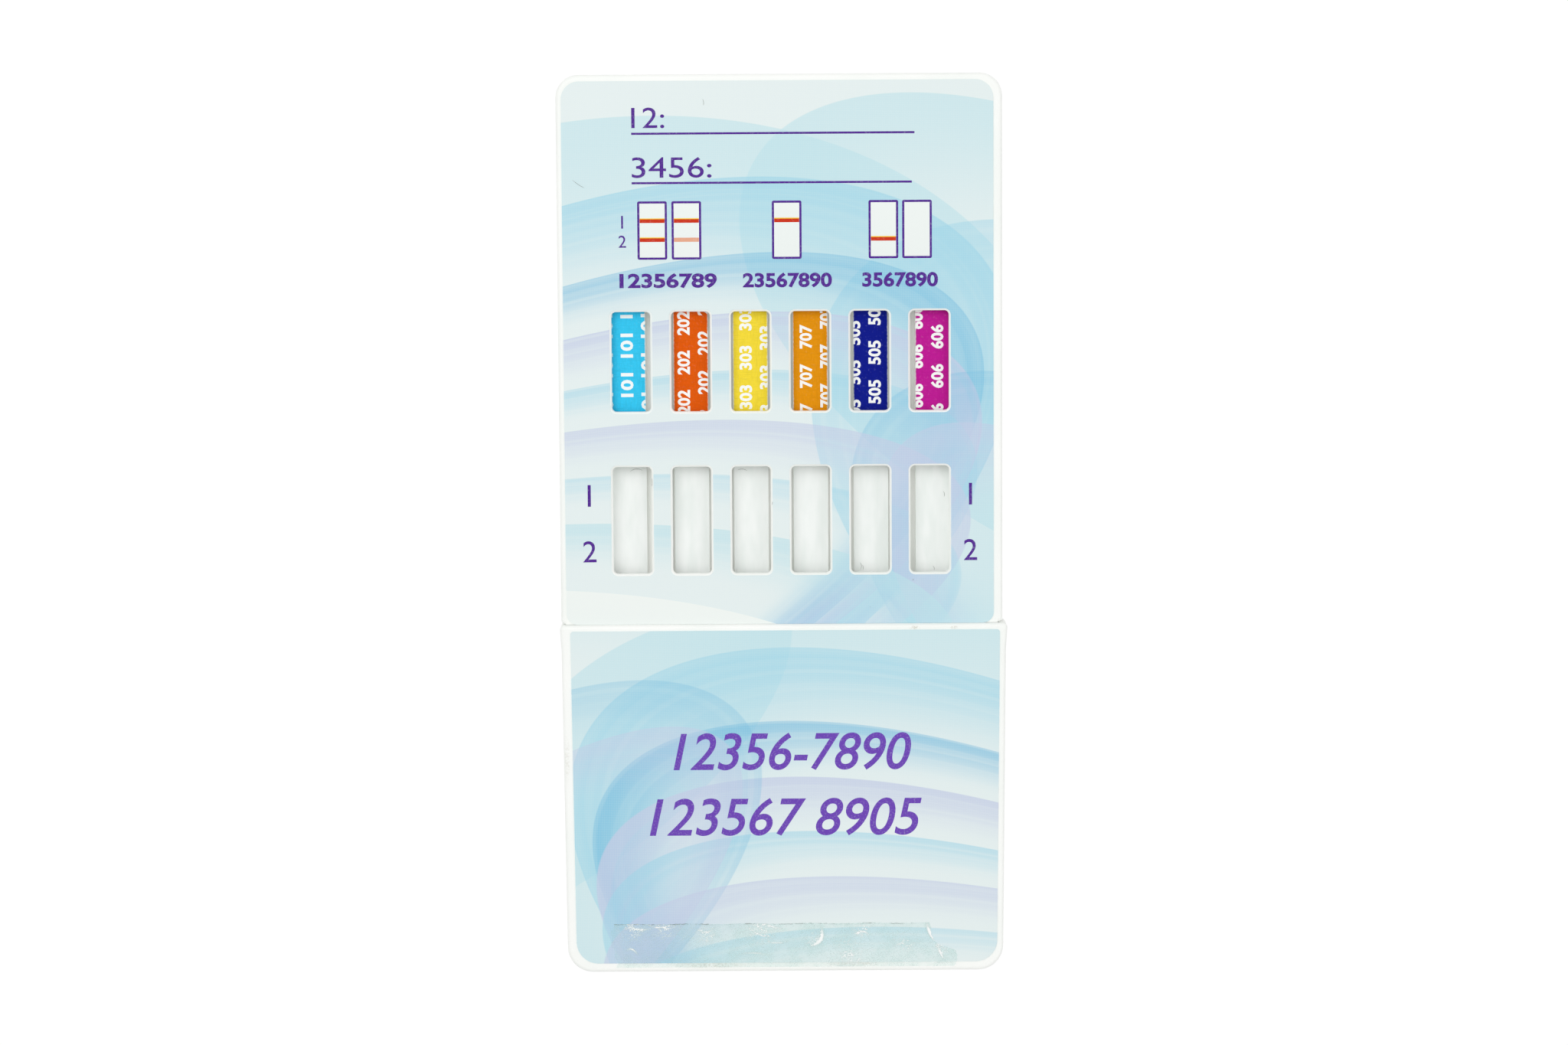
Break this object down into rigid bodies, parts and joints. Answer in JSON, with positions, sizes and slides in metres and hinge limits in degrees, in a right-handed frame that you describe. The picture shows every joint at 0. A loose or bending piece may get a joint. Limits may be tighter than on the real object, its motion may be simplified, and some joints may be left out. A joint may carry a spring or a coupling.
{
  "type": "lateral flow cassette",
  "caption": "Flat white multi-panel dip card with paired rows of windows over test strips, a printed label and a pull-off cap over its dipping end.",
  "frame": {"origin": "on the flat back, on the card's centre line, halfway along the card with its cap on", "axes": "+Y along the card to its top end, away from the cap; +Z out of the printed face; +X to the right, seen from the front"},
  "size_m": [0.0578, 0.116, 0.0056],
  "materials": {
    "white_plastic": "smooth moulded white plastic with a soft gloss",
    "card_label": "printed satin label, pale blue and lilac waves",
    "cap_label": "printed satin label, pale blue and lilac waves",
    "clear_film": "clear wrinkled adhesive film",
    "backing_card": "white plastic card",
    "membrane": "matt off-white membrane",
    "glass_fibre_pad": "soft glass fibre pad",
    "cellulose_pad": "soft absorbent pad",
    "marker_blue": "printed paper tape",
    "marker_orange": "printed paper tape",
    "marker_yellow": "printed paper tape",
    "marker_amber": "printed paper tape",
    "marker_navy": "printed paper tape",
    "marker_magenta": "printed paper tape"
  },
  "bodies": {
    "card": {"base_tray": "white_plastic", "window_plate": "white_plastic", "face_label": "card_label", "strip_1_backing": "backing_card", "strip_1_membrane": "membrane", "strip_1_conjugate_pad": "glass_fibre_pad", "strip_1_sample_pad": "cellulose_pad", "strip_1_wick_pad": "cellulose_pad", "strip_1_marker_tape": "marker_blue", "strip_2_backing": "backing_card", "strip_2_membrane": "membrane", "strip_2_conjugate_pad": "glass_fibre_pad", "strip_2_sample_pad": "cellulose_pad", "strip_2_wick_pad": "cellulose_pad", "strip_2_marker_tape": "marker_orange", "strip_3_backing": "backing_card", "strip_3_membrane": "membrane", "strip_3_conjugate_pad": "glass_fibre_pad", "strip_3_sample_pad": "cellulose_pad", "strip_3_wick_pad": "cellulose_pad", "strip_3_marker_tape": "marker_yellow", "strip_4_backing": "backing_card", "strip_4_membrane": "membrane", "strip_4_conjugate_pad": "glass_fibre_pad", "strip_4_sample_pad": "cellulose_pad", "strip_4_wick_pad": "cellulose_pad", "strip_4_marker_tape": "marker_amber", "strip_5_backing": "backing_card", "strip_5_membrane": "membrane", "strip_5_conjugate_pad": "glass_fibre_pad", "strip_5_sample_pad": "cellulose_pad", "strip_5_wick_pad": "cellulose_pad", "strip_5_marker_tape": "marker_navy", "strip_6_backing": "backing_card", "strip_6_membrane": "membrane", "strip_6_conjugate_pad": "glass_fibre_pad", "strip_6_sample_pad": "cellulose_pad", "strip_6_wick_pad": "cellulose_pad", "strip_6_marker_tape": "marker_magenta"},
    "cap": {"cap_shell": "white_plastic", "cap_label": "cap_label", "clear_tape": "clear_film"}
  },
  "joints": [
    {"name": "cap_pull", "type": "slide", "parent": "card", "child": "cap", "axis": [0, -1, 0], "range_m": [0, 0.05]}
  ]
}
